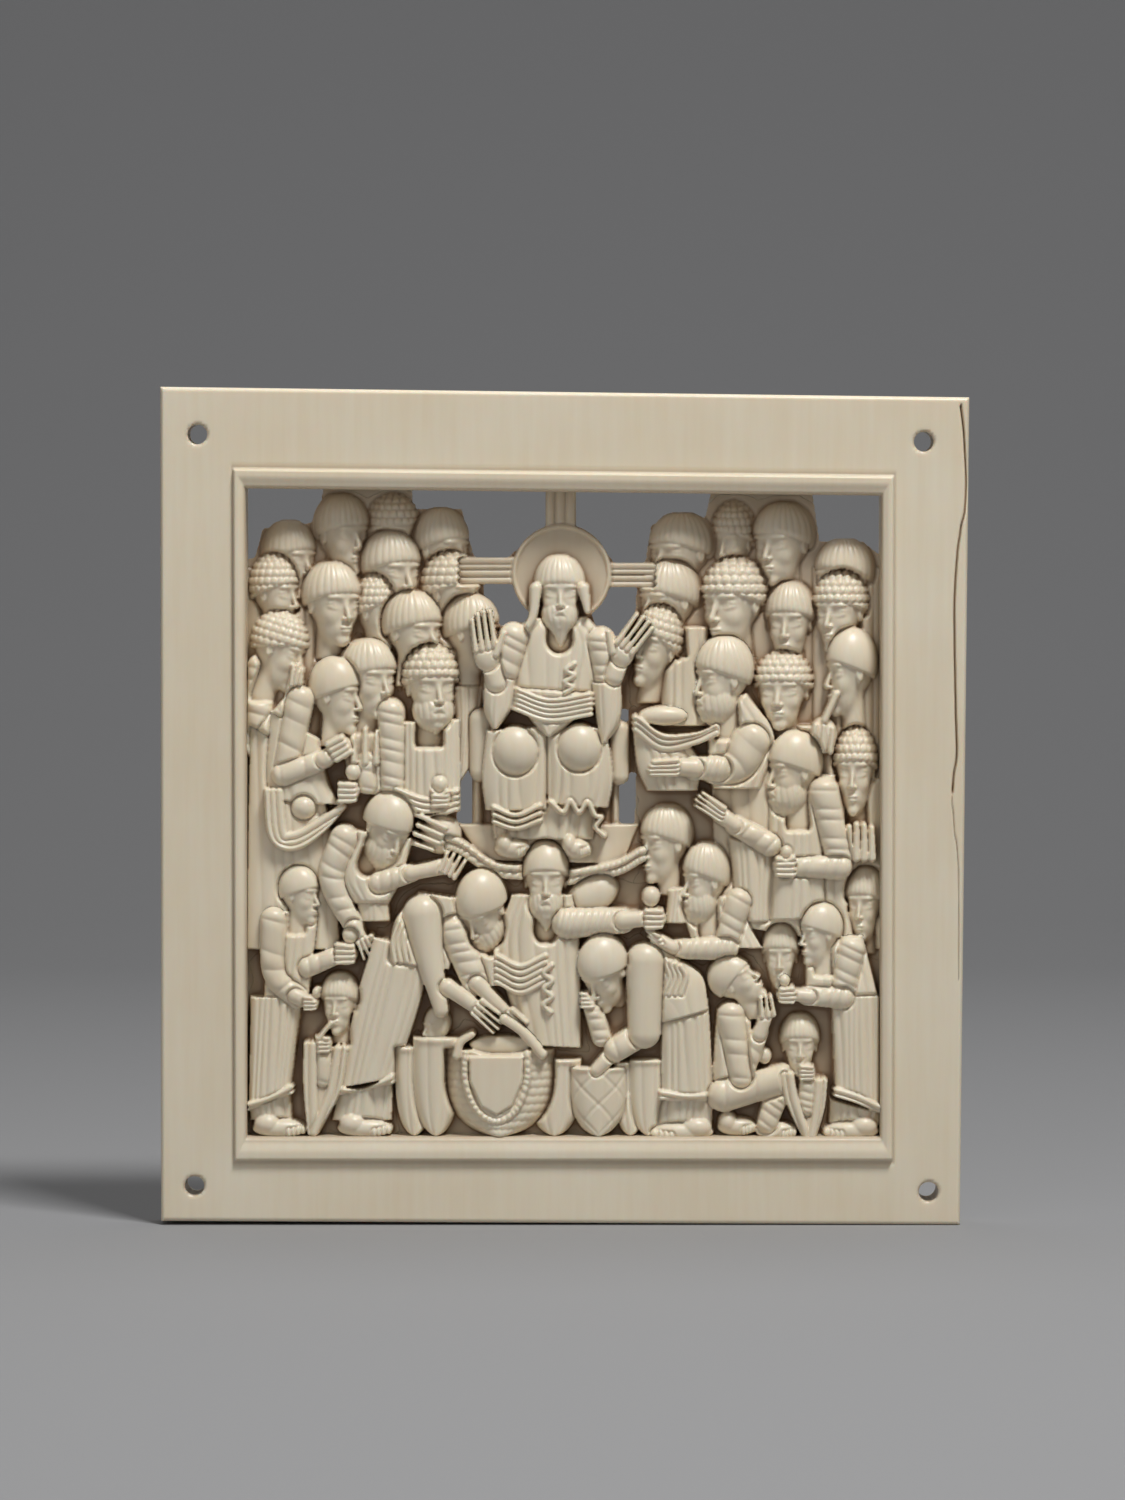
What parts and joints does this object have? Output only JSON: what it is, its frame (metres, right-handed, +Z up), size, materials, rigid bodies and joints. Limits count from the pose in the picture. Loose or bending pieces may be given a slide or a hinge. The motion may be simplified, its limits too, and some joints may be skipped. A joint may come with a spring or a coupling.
{
  "type": "relief plaque",
  "caption": "Small pierced ivory panel in high relief: a seated figure before a halo, crowds to both sides and baskets below, with a flat border and raised moulding.",
  "frame": {"origin": "centre of the flat back face, where the panel is fixed", "axes": "+Y out of the back into what carries the panel, the carving faces -Y; +Z up the panel"},
  "size_m": [0.1223, 0.009, 0.1273],
  "materials": {
    "ivory": "old ivory, satin, warm cream with vertical grain, hairline cracks and brown stain in the recesses"
  },
  "bodies": {
    "root": {"plaque": "ivory"}
  },
  "joints": []
}
